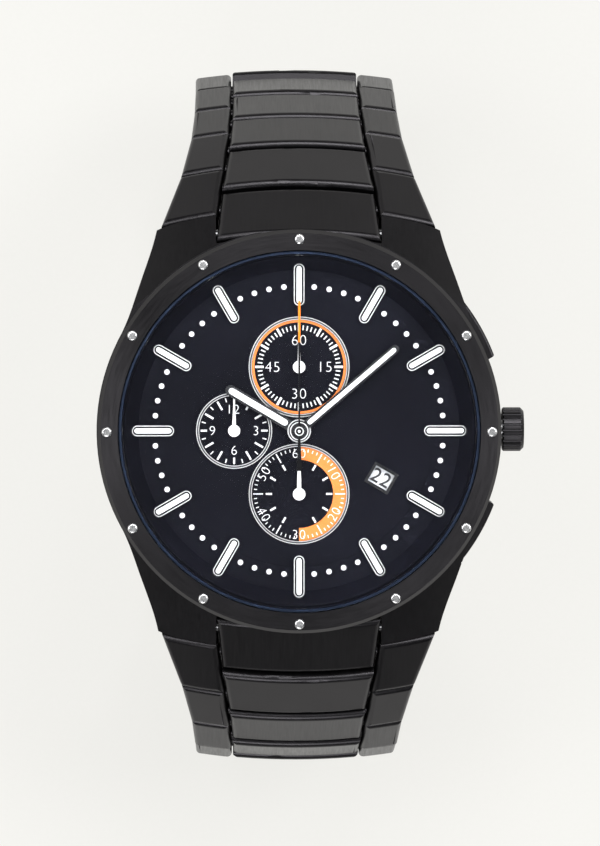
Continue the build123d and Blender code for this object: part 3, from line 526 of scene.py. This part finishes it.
def lettering(name, words, height, material, body, weight=-0.018):
    """Numerals of one piece: (text, centre, height in mm, degrees clockwise) each."""
    weld_distance = 0.0002 * MM
    shape = bmesh.new()
    for text, centre, cap, turn in words:
        flat = numeral(text, centre, cap, turn, height, weight)
        shape.from_mesh(flat)
        bpy.data.meshes.remove(flat)
    bmesh.ops.remove_doubles(shape, verts=shape.verts, dist=weld_distance)
    add_piece(name, shape, material, body)


# ---- dial printing, radii and widths in millimetres --------------------------------------

def white_track(name, outlines, height=RECESS_TOP):
    """White strokes printed in a sub-dial."""
    plate(name, outlines, height, PRINT, "white_print", "case")


def white_numerals(name, words, height=RECESS_TOP):
    """White numerals printed in a sub-dial."""
    lettering(name, words, height, "white_print", "case")


def main_dial():
    """The minute dots and the luminous strips of the hour markers."""
    dot_circle = 15.1
    dot_radius = 0.28
    strip_start = 13.33
    strip_end = 17.22
    strip_width = 0.54
    dots = [
        dot(direction(6 * minute) * dot_circle * MM, dot_radius)
        for minute in range(60) if minute % 5
    ]
    plate("minute_dots", dots, DIAL_TOP, 1.5 * PRINT, "white_print", "case")
    strips = [
        capsule(CENTRE, strip_start, strip_end, 30 * hour, strip_width) for hour in range(12)
    ]
    strip_bottom = high("dial_markers")[2] - 0.08 * MM
    plate("marker_lume", strips, strip_bottom, 0.1 * MM, "lume", "case", crown=0.02 * MM)


def small_seconds_dial():
    """Sixty seconds, an orange ring and four numerals."""
    ring_inner = 4.66
    ring_outer = 4.92
    numeral_circle = 2.8
    numeral_height = 1.05
    ticks = []
    for second in range(60):
        if second % 5:
            ticks.append(tick(SECONDS, 3.85, 4.35, 6 * second, 0.13))
        else:
            ticks.append(tick(SECONDS, 3.70, 4.60, 6 * second, 0.24))
    white_track("seconds_track", ticks)
    ring = band(SECONDS, ring_inner, ring_outer)
    plate("seconds_circle", ring, RECESS_TOP, PRINT, "orange_print", "case")
    names = (("60", 0), ("15", 90), ("30", 180), ("45", 270))
    words = [
        (text, SECONDS + direction(angle) * numeral_circle * MM, numeral_height, 0)
        for text, angle in names
    ]
    white_numerals("seconds_numerals", words)


def chrono_minute_dial():
    """Sixty minutes on a track whose first half is orange."""
    orange_inner = 3.58
    orange_outer = 4.94
    numeral_circle = 4.25
    numeral_height = 0.95
    half = band(MINUTES, orange_inner, orange_outer, 0, 180, 64)
    plate("minutes_orange_half", half, RECESS_TOP, PRINT, "orange_print", "case")
    ticks = []
    for minute in range(60):
        if minute % 5:
            ticks.append(tick(MINUTES, 4.42, 4.74, 6 * minute, 0.1))
        elif minute % 10:
            ticks.append(tick(MINUTES, 3.78, 4.82, 6 * minute, 0.13))
    white_track("minutes_track", ticks, RECESS_TOP + PRINT)
    inner = [tick(MINUTES, 2.83, 3.48, 30 * mark, 0.2) for mark in range(1, 12) if mark != 6]
    white_track("minutes_inner_marks", inner)
    names = (
        ("60", 0, 0), ("10", 60, 60), ("20", 120, -60),
        ("30", 180, 0), ("40", 240, 60), ("50", 300, -60),
    )
    words = [
        (text, MINUTES + direction(angle) * numeral_circle * MM, numeral_height, turn)
        for text, angle, turn in names
    ]
    white_numerals("minutes_numerals", words, RECESS_TOP + PRINT)


def chrono_hour_dial():
    """Twelve hours with half-hour strokes and four numerals."""
    track_outer = 3.5
    numeral_height = 0.95
    ticks = []
    for half in range(24):
        if half % 2:
            ticks.append(tick(HOURS, 3.07, track_outer, 15 * half, 0.12))
        elif half % 6:
            ticks.append(tick(HOURS, 2.5, track_outer, 15 * half, 0.2))
        else:
            ticks.append(tick(HOURS, 2.83, track_outer, 15 * half, 0.2))
    white_track("hours_track", ticks)
    names = (("12", 0, 2.24), ("3", 90, 2.28), ("6", 180, 2.05), ("9", 270, 2.28))
    words = [
        (text, HOURS + direction(angle) * reach * MM, numeral_height, 0)
        for text, angle, reach in names
    ]
    white_numerals("hours_numerals", words)


def date_numbers():
    """The 31 dates, on the date disc, with the day shown in the window at 4 o'clock."""
    days = 31
    day_shown = 22
    window_angle = 120
    numeral_circle = 9.93
    numeral_height = 1.5
    words = []
    for day in range(1, days + 1):
        angle = window_angle - (day - day_shown) * 360 / days
        place = direction(angle) * numeral_circle * MM
        words.append((str(day), place, numeral_height, angle - 90))
    top = high("date_disc")[2]
    lettering("date_numerals", words, top, "date_ink", "date_disc", weight=0.012)


def hand_lume():
    """The luminous strips of the hour and minute hands, at the angles of the hands."""
    for hand, body, angle, start, end, width in (
        ("hour_hand", "hour", 300.6, 1.42, 8.5, 0.66),
        ("minute_hand", "minute", 49.5, 1.22, 13.23, 0.48),
    ):
        strip = capsule(CENTRE, start, end, angle, width)
        bottom = high(hand)[2] - 0.06 * MM
        plate(
            f"{hand}_lume", [strip], bottom, 0.07 * MM, "lume", body, crown=0.015 * MM,
        )


def hub_rims():
    """Rims round the hubs of the central hands, and the cap over the last one, in a pale metal that is partly
    their polish and partly a painted highlight.
    """
    chrono_top = high("chrono_seconds_hand")[2]
    for name, inner, outer, height, body in (
        ("hour_hub_rim", 1.1, 1.22, high("hour_hand")[2], "hour"),
        ("minute_hub_rim", 0.86, 0.97, high("minute_hand")[2], "minute"),
        ("chrono_hub_rim", 0.36, 0.47, chrono_top - 0.1 * MM, "chrono_seconds"),
    ):
        rim = band(CENTRE, inner, outer)
        plate(name, rim, height, PRINT, "polish_and_painted_highlight", body)
    cap = [dot(CENTRE, 0.15)]
    plate("chrono_hub_cap", cap, chrono_top, 2 * PRINT, "polish_and_painted_highlight", "chrono_seconds")


def subdial_lines():
    """Painted highlights: bright lines on the edges of the three sub-dial rims."""
    lines = []
    for centre, outer in ((SECONDS, 5.26), (MINUTES, 5.26), (HOURS, 3.97)):
        lines += band(centre, outer - 0.07, outer) + band(centre, outer - 0.3, outer - 0.24)
    top = high("subdial_rings")[2]
    plate("subdial_lines", lines, top, PRINT, "polish_and_painted_highlight", "case")


def marker_edges():
    """A painted highlight: a bright line on the edge of each hour marker's frame."""
    edges = []
    for hour in range(12):
        outline = capsule(CENTRE, 13.07, 17.46, 30 * hour, 1.1)
        inner = capsule(CENTRE, 13.16, 17.37, 30 * hour, 0.92)
        for index in range(len(outline)):
            after = (index + 1) % len(outline)
            edges.append([outline[index], outline[after], inner[after], inner[index]])
    top = high("dial_markers")[2]
    plate("marker_edges", edges, top, PRINT, "polish_and_painted_highlight", "case")


main_dial()
small_seconds_dial()
chrono_minute_dial()
chrono_hour_dial()
date_numbers()
hand_lume()
hub_rims()
subdial_lines()
marker_edges()


# ---- floor, light and camera, in metres and watts ----------------------------------------

def pale_floor():
    """A plain pale floor under the clasp, with a glow of its own that evens out the light."""
    reach = 2.5
    height = cad_low[2] - 0.2 * MM
    material, tree, shader = principled("floor_paper")
    speckle = noise(tree, object_vector(tree, (2500, 2500, 2500)), 2.0)
    colour = ramp(tree, speckle, (0.118, 0.117, 0.113), (0.125, 0.124, 0.12))
    tree.links.new(colour, shader.inputs["Base Color"])
    shader.inputs["Roughness"].default_value = 0.9
    shader.inputs["Specular IOR Level"].default_value = 0.1
    shader.inputs["Emission Color"].default_value = (0.95, 0.943, 0.905, 1)
    shader.inputs["Emission Strength"].default_value = 0.8
    corners = [(x * reach, y * reach, height) for x, y in ((-1, -1), (1, -1), (1, 1), (-1, 1))]
    mesh = bpy.data.meshes.new("floor")
    mesh.from_pydata(corners, [], [(0, 1, 2, 3)])
    mesh.materials.append(material)
    floor = bpy.data.objects.new("floor", mesh)
    bpy.context.scene.collection.objects.link(floor)


def soft_light(name, place, size, power):
    """A square soft box that faces the centre of the dial."""
    lamp = bpy.data.lights.new(name, "AREA")
    lamp.shape = "SQUARE"
    lamp.size = size
    lamp.energy = power
    made = bpy.data.objects.new(name, lamp)
    made.location = place
    made.rotation_euler = (-Vector(place)).to_track_quat("-Z", "Y").to_euler()
    bpy.context.scene.collection.objects.link(made)


def studio():
    """Soft boxes all round, with the dim middle mirrored by the flat glass."""
    for name, place, size, power in (
        ("left_box", (-0.62, 0.1, 0.85), 0.42, 3.4),
        ("right_box", (0.6, 0.25, 0.85), 0.42, 6.2),
        ("top_box", (0.05, 0.62, 0.8), 0.4, 5.6),
        ("bottom_box", (-0.1, -0.66, 0.8), 0.4, 3.8),
        ("key_box", (-0.2, 0.26, 0.85), 0.2, 1.2),
    ):
        soft_light(name, place, size, power)
    world = bpy.data.worlds.new("studio")
    world.use_nodes = True
    background = world.node_tree.nodes["Background"]
    background.inputs["Color"].default_value = (0.9, 0.93, 1.0, 1)
    background.inputs["Strength"].default_value = 0.09
    bpy.context.scene.world = world
    bpy.context.scene.view_settings.view_transform = "Standard"


def camera():
    """A long lens almost straight above the dial, a little towards 12 o'clock and 9 o'clock."""
    picture_height = 88.0 * MM
    distance = 0.6
    tilt_to_crown = math.radians(-0.9)
    tilt_to_twelve = math.radians(2.75)
    aim = Vector((0.05 * MM, 0.94 * MM, high("bezel")[2]))
    away = Vector((math.sin(tilt_to_crown), math.sin(tilt_to_twelve), 1)).normalized()
    lens = bpy.data.cameras.new("camera")
    lens.sensor_fit = "VERTICAL"
    lens.sensor_height = 24
    lens.lens = lens.sensor_height * distance / picture_height
    lens.clip_start = 0.01
    lens.clip_end = 20
    made = bpy.data.objects.new("camera", lens)
    made.location = aim + away * distance
    right = Vector((0, 1, 0)).cross(away).normalized()
    upward = away.cross(right)
    made.rotation_euler = Matrix((right, upward, away)).transposed().to_euler()
    bpy.context.scene.collection.objects.link(made)
    bpy.context.scene.camera = made


pale_floor()
studio()
camera()
